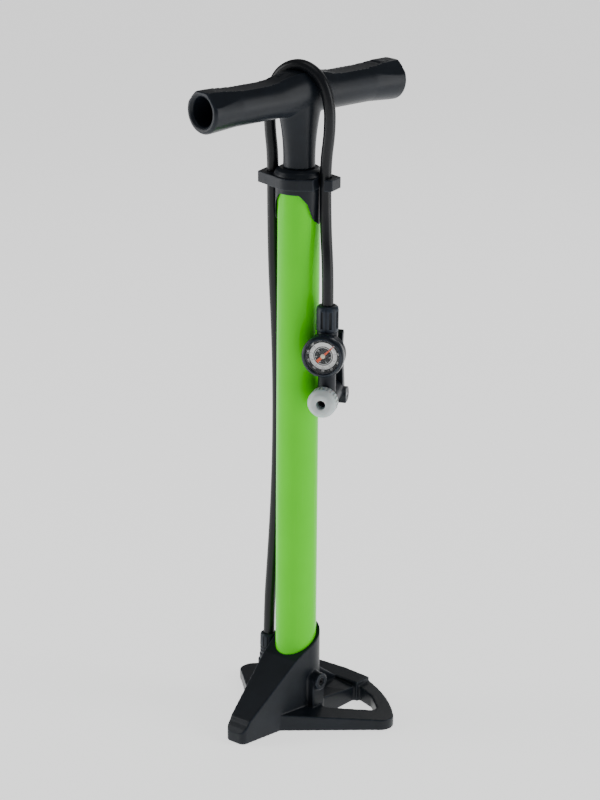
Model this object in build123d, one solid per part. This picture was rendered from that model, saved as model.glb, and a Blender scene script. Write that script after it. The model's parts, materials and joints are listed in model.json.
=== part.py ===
from build123d import *
import math
import os

# Floor bike pump. Millimetres, +Z up. The origin is on the ground under the
# barrel's axis; -Y is the toe of the base and +X its right foot loop.

# ---- driving dimensions -------------------------------------------------
BARREL_OD = 38.0
BARREL_WALL = 1.5
BARREL_BOTTOM = 30.0
BARREL_TOP = 514.0
ROD_D = 12.0
ROD_WALL = 2.0
SLIDE_FIT = 0.05          # radial gap of running and seated fits
SOFT_GAP = 0.3            # gap where a moving piece rests on a fixed one

SOCKET_WALL = 3.4         # base round the barrel
RIM_FRONT_Z = 64.4        # socket rim in front of the barrel
RIM_SLOPE = 0.55          # the rim rises towards the back
TOE_TIP_Y = -87.0
TOE_NOSE_Z = 11.0
TOE_SLOPE = 0.78
TOE_TIP_HALF = 10.6
TOE_ROOT_HALF = 17.0
TOE_ROOT_Y = -40.0
RIB = 2.2                 # ribs under the toe
RIB_PITCH = 8.6
DECK_ROOT_Z = 17.0        # top of the foot loops at the axis
DECK_FALL = 0.08          # and its fall towards their tips
WING_TIP_X = 90.5
SHELL_WALL = 3.2          # base moulding, seen from below
PLATEAU_Z = 19.5
RAMP_Z = 20.5             # deck beside the socket, falling towards the plateau
GLAND_OUT = 14.0          # hose outlet's axis from the barrel's wall
GLAND_Z = 45.0
OUTLET_R = 10.0
LOCK_Z = 40.0             # screw boss, right of the barrel
LOCK_BOSS_R = 8.0

CAP_WALL = 1.9
CAP_RISE = 12.5           # crown above the barrel's end
SKIRT_DROP = 21.5         # bottom of the cap between its tongues, from the crown
TONGUE_DROP = 49.5        # and at the tongues
COLLAR_TURN = 12.0        # degrees from the base's X axis
COLLAR_REACH = 16.05      # plate's end beyond the cap
COLLAR_DROP = 16.5        # plate's underside from the crown
COLLAR_THICK = 10.0
CLIP_OUT = 5.25           # hose's axis at the clips, beyond the cap
CLIP_CLEAR = 0.45
BUSH_WALL = 2.6

HANDLE_RISE = 64.5        # grip's axis above the crown
HANDLE_TURN = -8.2        # degrees from the base's Y axis
HANDLE_HALF = 111.5
HANDLE_R = 17.4
HANDLE_END_R = 19.5
GRIP_BORE_R = 13.0
GRIP_BORE_DEPTH = 84.0
STEM_R = 14.3

HOSE_D = 10.4
HOSE_BORE = 5.0

HEAD_OUT = 15.1           # head's axis from the barrel's wall
HEAD_Y = -0.1
HEAD_FACE = -64.0         # direction the gauge and nozzle face, degrees
HEAD_DROP = 119.9         # top of the head's boot below the crown
BOOT_R = 10.0
BOOT_LENGTH = 25.5
GAUGE_DROP = 42.6         # gauge's centre below the boot's top
GAUGE_R = 19.2
GAUGE_BACK = 7.0
GAUGE_DEPTH = 14.0
NOZZLE_DROP = 43.4        # nozzle's axis below the gauge's
NOZZLE_R = 13.2
NOZZLE_BORE_R = 4.2
NOZZLE_FRONT = 24.5
LEVER_WIDTH = 18.0
LEVER_PIN_D = 4.0
PIVOT_BACK = 29.0
PIVOT_DROP = 5.5

PISTON_LENGTH = 20.0
PISTON_CLEAR = 0.6
PLUG_TOP = 52.0

# ---- sizes that follow --------------------------------------------------
BARREL_R = BARREL_OD / 2
BORE_R = BARREL_R - BARREL_WALL
ROD_R = ROD_D / 2
SOCKET_R = BARREL_R + SLIDE_FIT + SOCKET_WALL
CAP_R = BARREL_R + SLIDE_FIT + CAP_WALL
PISTON_Z = PLUG_TOP + 6.0
HOSE_R = HOSE_D / 2
GLAND_X = -(BARREL_R + GLAND_OUT)
CAP_TOP = BARREL_TOP + CAP_RISE
CAP_SKIRT_Z = CAP_TOP - SKIRT_DROP
TONGUE_Z = CAP_TOP - TONGUE_DROP
COLLAR_Z = (CAP_TOP - COLLAR_DROP, CAP_TOP - COLLAR_DROP + COLLAR_THICK)
CLIP_X = CAP_R + CLIP_OUT
HANDLE_Z = CAP_TOP + HANDLE_RISE
HEAD_X = BARREL_R + HEAD_OUT
BOOT_TOP = CAP_TOP - HEAD_DROP
GAUGE_Z = BOOT_TOP - GAUGE_DROP
NOZZLE_Z = GAUGE_Z - NOZZLE_DROP


def at(x, y, z):
    return Pos(x, y, z)


def rod_z(x, y, z0, z1, r):
    """A round bar along Z."""
    return at(x, y, (z0 + z1) / 2) * Cylinder(r, z1 - z0)


def tube_z(x, y, z0, z1, r_out, r_in):
    return rod_z(x, y, z0, z1, r_out) - rod_z(x, y, z0 - 1, z1 + 1, r_in)


def block(x0, x1, y0, y1, z0, z1):
    centre = at((x0 + x1) / 2, (y0 + y1) / 2, (z0 + z1) / 2)
    return centre * Box(x1 - x0, y1 - y0, z1 - z0)


def prism_yz(points, half_width):
    """A polygon given as (y, z), extruded to both sides of X = 0."""
    face = make_face(Plane.YZ * Polyline(*points, close=True))
    return extrude(face, half_width, both=True)


def revolved(points):
    """A profile given as (r, z), turned about Z."""
    face = make_face(Plane.XZ * Polyline(*points, close=True))
    return revolve(face, Axis.Z)


# ---- base ---------------------------------------------------------------
TOE_TOP_Y = -SOCKET_R
REAR_Y = 75.5


def wing_outline():
    """Plan of the right foot loop, as far as the centre line."""
    return make_face([
        Line((0, -44), (15.5, -42.6)),
        Line((15.5, -42.6), (83.0, 17.5)),
        ThreePointArc((83.0, 17.5), (WING_TIP_X, 29.5), (85.0, 40.5)),
        ThreePointArc((85.0, 40.5), (60.0, 60.5), (31.0, 73.5)),
        Line((31.0, 73.5), (0, REAR_Y)),
        Line((0, REAR_Y), (0, -44)),
    ])


def wing_opening():
    """Plan of the gap that the foot loop goes round."""
    corners = Polyline((27, -4), (27, 59), (50, 52), (72, 34), close=True)
    face = make_face(corners)
    return fillet(face.vertices(), 6)


def deck_cutter(lowered=0.0):
    """All that lies above the sloping top of the right foot loop."""
    far, high = 120.0, 120.0
    root = DECK_ROOT_Z - lowered
    face = make_face(Plane.XZ * Polyline(
        (0, root), (far, root - DECK_FALL * far), (far, high), (0, high), close=True))
    return extrude(face, 130, both=True)


def foot_loop(side):
    wing = extrude(wing_outline(), DECK_ROOT_Z + 1) - extrude(wing_opening(), 40)
    under = offset(wing_outline(), -SHELL_WALL) - offset(wing_opening(), SHELL_WALL)
    under -= Rectangle(56, 200)
    pocket = extrude(under, 30) - deck_cutter(SHELL_WALL)
    wing = wing - deck_cutter() - pocket
    return wing if side > 0 else mirror(wing, Plane.YZ)


def toe():
    """Front foot: a sloping ridge with a rounded nose, ribbed underneath."""
    tip, root = TOE_TIP_HALF, TOE_ROOT_HALF
    plan = make_face(Polyline(
        (-tip, TOE_TIP_Y), (tip, TOE_TIP_Y), (root, TOE_ROOT_Y), (SOCKET_R - 0.8, -6),
        (-SOCKET_R + 0.8, -6), (-root, TOE_ROOT_Y), close=True))
    plan = fillet([v for v in plan.vertices() if v.Y < TOE_TIP_Y + 1], 5.5)
    nose_y = TOE_TIP_Y + 8.5
    nose_z = ridge_z(nose_y)
    keep = prism_yz([
        (TOE_TIP_Y - 1, 0), (TOE_TIP_Y - 1, TOE_NOSE_Z - 3), (TOE_TIP_Y + 0.6, TOE_NOSE_Z),
        (TOE_TIP_Y + 3, TOE_NOSE_Z + 3), (nose_y - 1.5, nose_z - 3), (nose_y, nose_z),
        (TOE_TOP_Y, RIM_FRONT_Z), (0, RIM_FRONT_Z + RIM_SLOPE * SOCKET_R), (0, 0)], 40)
    body = extrude(plan, 100) & keep
    return body - toe_hollow()


def ridge_z(y):
    """Height of the toe's ridge."""
    return RIM_FRONT_Z + TOE_SLOPE * (y - TOE_TOP_Y)


def toe_hollow():
    """Moulded-out underside of the toe, divided by ribs."""
    tip, root = TOE_TIP_HALF - SHELL_WALL, TOE_ROOT_HALF - SHELL_WALL
    back_y = TOE_TOP_Y - 5
    inner = make_face(Polyline(
        (-tip, TOE_TIP_Y + 5), (tip, TOE_TIP_Y + 5), (root, TOE_ROOT_Y), (root, back_y),
        (-root, back_y), (-root, TOE_ROOT_Y), close=True))
    hollow = extrude(inner, 80) & prism_yz([
        (TOE_TIP_Y + 2, -1), (TOE_TIP_Y + 2, TOE_NOSE_Z - 4), (TOE_TIP_Y + 8.5, TOE_NOSE_Z - 3),
        (TOE_TIP_Y + 14, ridge_z(TOE_TIP_Y + 14) - 8), (back_y, ridge_z(back_y) - 8),
        (back_y, -1)], 40)
    hollow -= block(-RIB / 2, RIB / 2, TOE_TIP_Y, 0, -1, 80)
    rib_y = TOE_TIP_Y + 5 + RIB_PITCH
    while rib_y < back_y - RIB:
        hollow -= block(-40, 40, rib_y, rib_y + RIB, -1, 80)
        rib_y += RIB_PITCH
    return hollow


def base_body():
    tower = rod_z(0, 0, 0, 100, SOCKET_R)
    rim_cut = prism_yz([
        (-60, RIM_FRONT_Z - RIM_SLOPE * (60 - SOCKET_R)),
        (60, RIM_FRONT_Z + RIM_SLOPE * (60 + SOCKET_R)), (60, 160), (-60, 160)], 60)
    plateau = extrude(make_face(Polyline(
        (-31, 54), (31, 54), (31, 72.5), (0, REAR_Y - 1), (-31, 72.5), close=True)), PLATEAU_Z)
    ramp = prism_yz([(-6, 0), (-6, RAMP_Z), (0, RAMP_Z), (54, RAMP_Z - 7), (54, 0)], 27)
    gusset = prism_yz([(15, 0), (15, 46), (21, 44), (54, PLATEAU_Z), (54, 0)], 4)
    outlet = rod_z(GLAND_X, 0, 0, GLAND_Z, OUTLET_R)
    outlet += block(GLAND_X, -15, -OUTLET_R, OUTLET_R, 0, GLAND_Z - 3)
    lock_boss = Pos(SOCKET_R + 1, 0, LOCK_Z) * Rot(0, 90, 0) * Cylinder(LOCK_BOSS_R, 17)
    lock_web = block(15, SOCKET_R + 6, -LOCK_BOSS_R, LOCK_BOSS_R, 0, LOCK_Z)
    body = (tower - rim_cut) + toe() + foot_loop(1) + foot_loop(-1)
    body = body + ramp + plateau + gusset + outlet + lock_web + lock_boss
    body -= rod_z(0, 0, BARREL_BOTTOM, 120, BARREL_R + SLIDE_FIT)
    body -= rod_z(0, 0, -1, BARREL_BOTTOM - 14, SOCKET_R - 7)
    # air way from under the plug to the hose outlet
    way_z = BARREL_BOTTOM - 5
    body -= rod_z(0, 0, way_z - 3, BARREL_BOTTOM + 1, 3)
    body -= Pos(GLAND_X / 2, 0, way_z) * Rot(0, 90, 0) * Cylinder(2.5, -GLAND_X)
    body -= rod_z(GLAND_X, 0, way_z, GLAND_Z + 1, 4.5)
    # holes for the base screws and the lock screw
    for y in (-SCREW_Y, SCREW_Y):
        body -= rod_z(0, y, -1, 60, SCREW_R + SLIDE_FIT)
    body -= Pos(30, 0, LOCK_Z) * Rot(0, 90, 0) * Cylinder(SCREW_R + SLIDE_FIT, 30)
    body -= Pos(LOCK_FACE_X, 0, LOCK_Z) * Rot(0, 90, 0) * Cylinder(LOCK_HEAD_R + 0.2, 8)
    return body


SCREW_R = 2.0
SCREW_Y = BORE_R - 7.5    # base screws, under the plug
LOCK_HEAD_R = 3.4
LOCK_FACE_X = SOCKET_R + 9.5


def base_screws():
    head_z = BARREL_BOTTOM - 14
    screws = []
    for y in (-SCREW_Y, SCREW_Y):
        screw = rod_z(0, y, head_z, BARREL_BOTTOM + 12, SCREW_R)
        screw += rod_z(0, y, head_z - 3, head_z, 3.6)
        screw -= block(-0.5, 0.5, y - 5, y + 5, head_z - 3.5, head_z - 2)
        screws.append(screw)
    return Compound(children=screws)


def lock_screw():
    head_x = LOCK_FACE_X - 4
    screw = Pos((head_x + BORE_R - 6) / 2, 0, LOCK_Z) * Rot(0, 90, 0) * Cylinder(
        SCREW_R, head_x - BORE_R + 6)
    screw += Pos(head_x + 1.5, 0, LOCK_Z) * Rot(0, 90, 0) * Cylinder(LOCK_HEAD_R, 3)
    socket = extrude(Plane.YZ.offset(head_x + 1.2) * RegularPolygon(1.5, 6), 3)
    return screw - Pos(0, 0, LOCK_Z) * socket


# ---- barrel and foot valve ----------------------------------------------
def barrel():
    tube = tube_z(0, 0, BARREL_BOTTOM, BARREL_TOP, BARREL_R, BORE_R)
    return tube - Pos(BARREL_R, 0, LOCK_Z) * Rot(0, 90, 0) * Cylinder(SCREW_R + SLIDE_FIT, 8)


SEAL_Z = PLUG_TOP - 6.0
VALVE_R = 5.0
SEAT_Z = PLUG_TOP - 5.0


def foot_plug():
    plug = rod_z(0, 0, BARREL_BOTTOM, PLUG_TOP, BORE_R - SLIDE_FIT)
    plug -= tube_z(0, 0, SEAL_Z - 1.5, SEAL_Z + 1.5, BORE_R + 1, BORE_R - 2.6)
    plug -= rod_z(0, 0, BARREL_BOTTOM - 1, SEAT_Z, VALVE_R)
    plug -= rod_z(0, 0, SEAT_Z - 1, PLUG_TOP + 1, 2.5)
    for y in (-SCREW_Y, SCREW_Y):
        plug -= rod_z(0, y, BARREL_BOTTOM - 1, BARREL_BOTTOM + 13, SCREW_R + SLIDE_FIT)
    bore = Pos(BORE_R, 0, LOCK_Z) * Rot(0, 90, 0) * Cylinder(SCREW_R + SLIDE_FIT, 13)
    return plug - bore


def foot_seal():
    ring = Torus(BORE_R - 1.25, 1.15)
    return Pos(0, 0, SEAL_Z) * ring


POPPET_TOP = SEAT_Z - 0.3


def valve_poppet():
    return revolved([(0, POPPET_TOP), (3.6, POPPET_TOP), (4.2, POPPET_TOP - 0.6),
                     (4.2, POPPET_TOP - 3.0), (1.8, POPPET_TOP - 3.0),
                     (1.8, POPPET_TOP - 7), (0, POPPET_TOP - 7)])


def valve_spring():
    """Three open coils between the poppet's head and the base's floor."""
    height = POPPET_TOP - 3.3 - BARREL_BOTTOM - 0.6
    path = Helix(pitch=height / 3.5, height=height, radius=3.6)
    wire = Plane(origin=path @ 0, z_dir=path % 0) * Circle(0.35)
    return Pos(0, 0, BARREL_BOTTOM + 0.4) * sweep(wire, path=path)


# ---- hose outlet --------------------------------------------------------
GLAND_TOP = 72.0
GLAND_R = 8.3


def outlet_barb():
    profile = [(1.6, GLAND_Z - 14), (4.5 - SLIDE_FIT, GLAND_Z - 14), (4.5 - SLIDE_FIT, GLAND_Z),
               (6.6, GLAND_Z), (6.6, GLAND_Z + 3), (HOSE_BORE / 2 - 0.1, GLAND_Z + 3),
               (HOSE_BORE / 2 - 0.1, GLAND_Z + 18), (1.6, GLAND_Z + 18)]
    return Pos(GLAND_X, 0, 0) * revolved(profile)


def hose_gland():
    """Ribbed sleeve that grips the hose where it leaves the base."""
    z0, z1 = GLAND_Z + 0.05, GLAND_TOP
    points = [(6.65, z0), (GLAND_R + 0.4, z0), (GLAND_R + 0.4, z0 + 6)]
    for i in range(3):
        low = z0 + 6.6 + 4.4 * i
        points += [(GLAND_R - 0.9, low), (GLAND_R - 0.9, low + 0.9),
                   (GLAND_R, low + 1.4), (GLAND_R, low + 3.8)]
    points += [(GLAND_R - 0.2, z1 - 1.5), (GLAND_R - 1.7, z1), (HOSE_R + 0.05, z1),
               (HOSE_R + 0.05, z0 + 3), (6.65, z0 + 3)]
    return Pos(GLAND_X, 0, 0) * revolved(points)


# ---- cap, bush and wiper ------------------------------------------------
PLUG_DEPTH = 22.0
CAP_IN_R = BORE_R - SLIDE_FIT
BUSH_R = ROD_R + SLIDE_FIT + BUSH_WALL
WIPER_R = ROD_R + 4.5


def collar_plate():
    """Flat lozenge round the cap whose two ends hold the hose."""
    wide, end, bulge = CAP_R + COLLAR_REACH, HOSE_R + 3, CAP_R + 3.4
    neck_x, neck_y = CAP_R - 7.95, CAP_R - 0.95
    face = make_face([
        Line((-wide, -end), (-neck_x, -neck_y)),
        ThreePointArc((-neck_x, -neck_y), (0, -bulge), (neck_x, -neck_y)),
        Line((neck_x, -neck_y), (wide, -end)),
        Line((wide, -end), (wide, end)),
        Line((wide, end), (neck_x, neck_y)),
        ThreePointArc((neck_x, neck_y), (0, bulge), (-neck_x, neck_y)),
        Line((-neck_x, neck_y), (-wide, end)),
        Line((-wide, end), (-wide, -end)),
    ])
    return Pos(0, 0, COLLAR_Z[0]) * extrude(face, COLLAR_THICK)


def clip_cutter(side):
    """The hose's way through one end: a bore, open to the front right and the back left."""
    ring_x, clear, mouth = side * CLIP_X, HOSE_R + CLIP_CLEAR, HOSE_R * 0.8
    y0, y1 = sorted((0, -40 * side))
    return (rod_z(ring_x, 0, TONGUE_Z - 1, CAP_TOP + 1, clear)
            + block(ring_x - mouth, ring_x + mouth, y0, y1, COLLAR_Z[0] - 3, CAP_TOP + 1))


def top_cap():
    skirt = rod_z(0, 0, TONGUE_Z, CAP_TOP - 4, CAP_R)
    for turn in (0, 180):
        window = Rot(0, 0, turn) * Pos(0, -30, 0) * skirt_window()
        skirt -= window
    crown = revolved([(0, COLLAR_Z[0]), (CAP_R + 1.2, COLLAR_Z[0]), (CAP_R + 1.2, CAP_TOP - 5),
                      (CAP_R - 0.5, CAP_TOP - 2), (STEM_R + 3, CAP_TOP), (0, CAP_TOP)])
    cap = skirt + crown + collar_plate()
    for side in (1, -1):
        cap -= clip_cutter(side)
    cap -= rod_z(0, 0, TONGUE_Z - 1, BARREL_TOP, BARREL_R + SLIDE_FIT)
    cap += rod_z(0, 0, BARREL_TOP - PLUG_DEPTH, BARREL_TOP + 1, CAP_IN_R)
    cap -= rod_z(0, 0, TONGUE_Z, CAP_TOP + 1, ROD_R + 0.6)
    cap -= rod_z(0, 0, BARREL_TOP - PLUG_DEPTH - 1, CAP_TOP - 7, BUSH_R)
    cap -= rod_z(0, 0, CAP_TOP - 5, CAP_TOP + 1, WIPER_R)
    return Rot(0, 0, COLLAR_TURN) * cap


def skirt_window():
    """Round-cornered opening in the skirt, seen from the front."""
    foot, knee, shoulder, top = (CAP_R + d for d in (0.05, -2.35, -5.45, -10.95))
    low, high = TONGUE_Z - 1, CAP_SKIRT_Z
    face = make_face(Plane.XZ * Polyline(
        (-foot, low), (-knee, low + 7), (-shoulder, high - 8), (-top, high),
        (top, high), (shoulder, high - 8), (knee, low + 7), (foot, low), close=True))
    face = fillet([v for v in face.vertices() if v.Z > high - 9], 4)
    return extrude(face, 29, both=True)


def rod_bush():
    z1 = CAP_TOP - 7
    return revolved([(ROD_R + SLIDE_FIT, z1 - 26), (BUSH_R - SLIDE_FIT, z1 - 26),
                     (BUSH_R - SLIDE_FIT, z1), (ROD_R + SLIDE_FIT, z1)])


def rod_wiper():
    z0 = CAP_TOP - 5
    return revolved([(ROD_R + SLIDE_FIT, z0), (WIPER_R - SLIDE_FIT, z0),
                     (WIPER_R - SLIDE_FIT, CAP_TOP - 0.4), (ROD_R + 1.6, CAP_TOP - 0.4),
                     (ROD_R + SLIDE_FIT, CAP_TOP - 1.8)])


# ---- piston and rod -----------------------------------------------------
PISTON_TOP = PISTON_Z + PISTON_LENGTH
BUMPER_LENGTH = 12.0
STEM_Z = CAP_TOP + SOFT_GAP
INSERT_Z = (STEM_Z + 8, STEM_Z + 34)
INSERT_R = 9.0


def piston_head():
    r = BORE_R - PISTON_CLEAR
    groove = 6.0
    return revolved([(ROD_R + SLIDE_FIT, PISTON_Z), (r, PISTON_Z), (r, PISTON_Z + 3),
                     (r - 3.4, PISTON_Z + 3), (r - 3.4, PISTON_Z + 3 + groove),
                     (r, PISTON_Z + 3 + groove), (r, PISTON_TOP - 1.5), (r - 1.5, PISTON_TOP),
                     (ROD_R + SLIDE_FIT, PISTON_TOP)])


def piston_cup():
    """Cup seal in the piston's groove, its lip pointing down."""
    r = BORE_R - PISTON_CLEAR
    z0 = PISTON_Z + 3.1
    return revolved([(r - 3.3, z0 + 2.2), (r - 2.0, z0 + 2.2), (BORE_R - SLIDE_FIT - 1.0, z0),
                     (BORE_R - SLIDE_FIT, z0), (BORE_R - SLIDE_FIT, z0 + 4.6),
                     (r - 0.6, z0 + 5.7), (r - 3.3, z0 + 5.7)])


def piston_washer():
    return revolved([(3.2, PISTON_Z - 1.5), (9, PISTON_Z - 1.5), (9, PISTON_Z - 0.05),
                     (3.2, PISTON_Z - 0.05)])


def piston_bolt():
    """Hexagon bolt up into the rod's end."""
    head = extrude(Plane.XY.offset(PISTON_Z - 4.5) * RegularPolygon(5.4, 6), 2.95)
    shank = rod_z(0, 0, PISTON_Z - 2, PISTON_Z + 18, 3.1)
    return head + shank


def piston_rod():
    rod = rod_z(0, 0, PISTON_Z, INSERT_Z[1] - 1, ROD_R)
    rod -= rod_z(0, 0, PISTON_Z + 22, INSERT_Z[1] - 22, ROD_R - ROD_WALL)
    return rod - rod_z(0, 0, PISTON_Z - 1, PISTON_Z + 22, 3.15)


def rod_bumper():
    z0 = PISTON_TOP + 0.2
    return revolved([(ROD_R + SLIDE_FIT, z0), (ROD_R + 3.4, z0), (ROD_R + 4.4, z0 + 2),
                     (ROD_R + 4.4, z0 + BUMPER_LENGTH - 2), (ROD_R + 3.4, z0 + BUMPER_LENGTH),
                     (ROD_R + SLIDE_FIT, z0 + BUMPER_LENGTH)])


# ---- handle -------------------------------------------------------------
def handle():
    """T-shaped grip with a dished top on each half and open ends."""
    half, dip = HANDLE_HALF, 300.0
    dish_y = half - 54.5
    profile = [(0, -half), (HANDLE_END_R - 1.6, -half), (HANDLE_END_R, -half + 2.2),
               (HANDLE_END_R - 0.3, -half + 9), (HANDLE_R, -half + 34), (HANDLE_R, half - 34),
               (HANDLE_END_R - 0.3, half - 9), (HANDLE_END_R, half - 2.2),
               (HANDLE_END_R - 1.6, half), (0, half)]
    bar = Rot(-90, 0, 0) * revolved(profile)
    for side in (-1, 1):
        dish = Pos(0, side * dish_y, HANDLE_R - 3.3 + dip) * Rot(0, 90, 0) * Cylinder(dip, 80)
        y0, y1 = sorted((side * (dish_y - 42), side * (half + 20)))
        bar -= dish & block(-40, 40, y0, y1, -30, 40)
    bar = Pos(0, 0, HANDLE_Z) * bar
    sections = [(STEM_Z, STEM_R, STEM_R), (STEM_Z + 18, STEM_R + 0.4, STEM_R),
                (HANDLE_Z - 17, 20.0, 15.8), (HANDLE_Z + 4, 27.0, 16.6)]
    stem = loft([Pos(0, 0, z) * Ellipse(b, a) for z, a, b in sections])
    body = bar + stem
    for side in (-1, 1):
        bore = Pos(0, side * (half - GRIP_BORE_DEPTH / 2 + 1), HANDLE_Z) * Rot(90, 0, 0)
        body -= bore * Cylinder(GRIP_BORE_R, GRIP_BORE_DEPTH + 2)
        mouth = Pos(0, side * (half - 0.9), HANDLE_Z) * Rot(-90 * side, 0, 0)
        body -= mouth * Cone(GRIP_BORE_R, GRIP_BORE_R + 2.4, 2)
    body -= rod_z(0, 0, STEM_Z - 1, INSERT_Z[1], ROD_R + SLIDE_FIT)
    body -= rod_z(0, 0, INSERT_Z[0], INSERT_Z[1], INSERT_R + 0.02)
    return Rot(0, 0, HANDLE_TURN) * body


def handle_insert():
    ring = revolved([(ROD_R + 0.02, INSERT_Z[0]), (INSERT_R, INSERT_Z[0]),
                     (INSERT_R, INSERT_Z[0] + 10), (INSERT_R - 1.5, INSERT_Z[0] + 11.5),
                     (INSERT_R - 1.5, INSERT_Z[1] - 11.5), (INSERT_R, INSERT_Z[1] - 10),
                     (INSERT_R, INSERT_Z[1]), (ROD_R + 0.02, INSERT_Z[1])])
    return ring


# ---- hose ---------------------------------------------------------------
HOSE_ROUTE = [
    (-33.0, 0.0, 48.05), (-32.9, 0.1, 98.0), (-29.3, 0.6, 148.0), (-26.4, 2.4, 215.0),
    (-25.8, 3.6, 290.0), (-25.8, 1.6, 365.0), (-26.1, -3.2, 430.0), (-25.63, -5.45, 495.0),
    (-25.63, -5.45, 534.0), (-28.9, -6.2, 560.0), (-28.8, -6.1, 586.0), (-20.1, -4.3, 609.5),
    (0.6, 0.1, 619.0), (20.1, 4.3, 609.0), (29.0, 6.2, 586.0), (29.1, 6.2, 560.0),
    (25.63, 5.45, 534.0), (25.63, 5.45, 500.0), (28.2, 3.8, 468.0), (32.6, 0.95, 443.0),
    (34.1, -0.1, 415.0), (34.1, -0.1, 387.1),
]


def turn_radii(route):
    """The largest arc at each corner that its two runs allow."""
    points = [Vector(*p) for p in route]
    radii = []
    for a, b, c in zip(points, points[1:], points[2:]):
        before, after = b - a, c - b
        turn = math.radians(before.get_angle(after))
        shorter = min(before.length, after.length)
        radii.append(0.45 * shorter / math.tan(turn / 2))
    return radii


def hose_tube():
    path = FilletPolyline(*HOSE_ROUTE, radius=turn_radii(HOSE_ROUTE))
    ring = Plane(origin=path @ 0, z_dir=path % 0) * Circle(HOSE_R)
    tube = sweep(ring, path=path)
    print("hose length", round(path.length, 1))
    core = Plane(origin=path @ 0, z_dir=path % 0) * Circle(HOSE_BORE / 2)
    return tube - sweep(core, path=path)


HOSE = hose_tube()


def hose_piece(low, high, x0, x1):
    """The stretch of hose inside a box, cut at the clips."""
    return HOSE & block(x0, x1, -60, 60, low, high)


SPLIT_Z = (COLLAR_Z[0] + COLLAR_Z[1]) / 2


# ---- pump head: local frame has -Y forward, X to its right --------------
def placed_head(shape):
    turn = HEAD_FACE + 90
    return Pos(HEAD_X, HEAD_Y, 0) * Rot(0, 0, turn) * shape


def along_y(y0, y1, r, z, x=0.0):
    """A round bar along the head's own Y."""
    return Pos(x, (y0 + y1) / 2, z) * Rot(90, 0, 0) * Cylinder(r, y1 - y0)


def turned_y(points, z):
    """A profile (r, distance forward), turned about the head's forward axis."""
    return Pos(0, 0, z) * Rot(90, 0, 0) * revolved(points)


BOOT_BOTTOM = BOOT_TOP - BOOT_LENGTH
CASE_FRONT = GAUGE_BACK + GAUGE_DEPTH
CASE_IN_R = GAUGE_R - 2.6
DIAL_AT = CASE_FRONT - 6.0
NECK_R = 8.0
PIVOT_Z = NOZZLE_Z - PIVOT_DROP
NOZZLE_HOUSING_R = 10.0
EAR_HALF = LEVER_WIDTH / 2 + 3.4


def head_body():
    upper = rod_z(0, 0, GAUGE_Z - 12, BOOT_BOTTOM + 2, 9.4)
    neck = rod_z(0, 0, NOZZLE_Z, GAUGE_Z - 8, NECK_R)
    cup = turned_y([(0, 0), (13, 0), (GAUGE_R - 1.0, 3.0), (GAUGE_R - 1.0, GAUGE_BACK + 5),
                    (CASE_IN_R, GAUGE_BACK + 5), (CASE_IN_R, GAUGE_BACK), (0, GAUGE_BACK)],
                   GAUGE_Z)
    nozzle = along_y(-15, PIVOT_BACK - 6.2, NOZZLE_HOUSING_R, NOZZLE_Z)
    ears = block(-EAR_HALF, EAR_HALF, PIVOT_BACK - 6.5, PIVOT_BACK, PIVOT_Z - 7, PIVOT_Z + 7)
    ears += Pos(0, PIVOT_BACK, PIVOT_Z) * Rot(0, 90, 0) * Cylinder(7, 2 * EAR_HALF)
    ears -= block(-LEVER_WIDTH / 2 - 0.3, LEVER_WIDTH / 2 + 0.3, PIVOT_BACK - 5.6, 60,
                  NOZZLE_Z - 40, GAUGE_Z + 40)
    spine = block(-6, 6, 0, 9, NOZZLE_Z, GAUGE_Z + 12)
    body = upper + neck + cup + nozzle + ears + spine
    body -= turned_y([(0, GAUGE_BACK), (CASE_IN_R, GAUGE_BACK), (CASE_IN_R, 60), (0, 60)],
                     GAUGE_Z)
    # air way: hose barb, past the gauge, to the nozzle
    body -= rod_z(0, 0, NOZZLE_Z, BOOT_BOTTOM + 3, 1.8)
    body -= rod_z(0, 0, BOOT_BOTTOM - 8, BOOT_BOTTOM + 3, 3.6)
    body -= along_y(-GAUGE_BACK - 1, 0, 2.0, GAUGE_Z)
    body -= along_y(-40, 4, GROMMET_R + SLIDE_FIT, NOZZLE_Z)
    body -= along_y(-40, 40, PLUNGE_R + SLIDE_FIT, NOZZLE_Z)
    pin = Pos(0, PIVOT_BACK, PIVOT_Z) * Rot(0, 90, 0) * Cylinder(
        LEVER_PIN_D / 2 + 0.02, LEVER_WIDTH + 20)
    return body - pin


GROMMET_R = 7.0
PLUNGE_R = 2.6


def head_boot():
    """Ribbed sleeve over the hose's end."""
    z0, z1 = BOOT_BOTTOM + 2.05, BOOT_TOP
    sleeve = revolved([(6.4, z0), (BOOT_R - 0.3, z0), (BOOT_R, z0 + 1.5), (BOOT_R, z1 - 3),
                       (BOOT_R - 2.2, z1 - 0.4), (HOSE_R + 0.6, z1), (HOSE_R + 0.05, z1 - 1),
                       (HOSE_R + 0.05, z0 + 4), (6.4, z0 + 4)])
    for i in range(12):
        turn = Rot(0, 0, 30 * i)
        groove = Pos(BOOT_R + 0.5, 0, (z0 + z1) / 2 - 0.5) * Cylinder(1.3, z1 - z0 - 9)
        sleeve -= turn * groove
    return sleeve


def head_barb():
    z0 = BOOT_BOTTOM
    return revolved([(1.4, z0 - 8), (3.6 - SLIDE_FIT, z0 - 8), (3.6 - SLIDE_FIT, z0 + 2.05),
                     (6.3, z0 + 2.05), (6.3, z0 + 6), (HOSE_BORE / 2 - 0.1, z0 + 6),
                     (HOSE_BORE / 2 - 0.1, z0 + 22), (1.4, z0 + 22)])


def gauge_case():
    """Metal cup that holds the movement, open to the front."""
    r = CASE_IN_R - SLIDE_FIT
    return turned_y([(3.0, GAUGE_BACK + 0.05), (r, GAUGE_BACK + 0.05), (r, CASE_FRONT - 3.0),
                     (r - 0.8, CASE_FRONT - 3.0), (r - 0.8, GAUGE_BACK + 1.0),
                     (3.0, GAUGE_BACK + 1.0)], GAUGE_Z)


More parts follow.
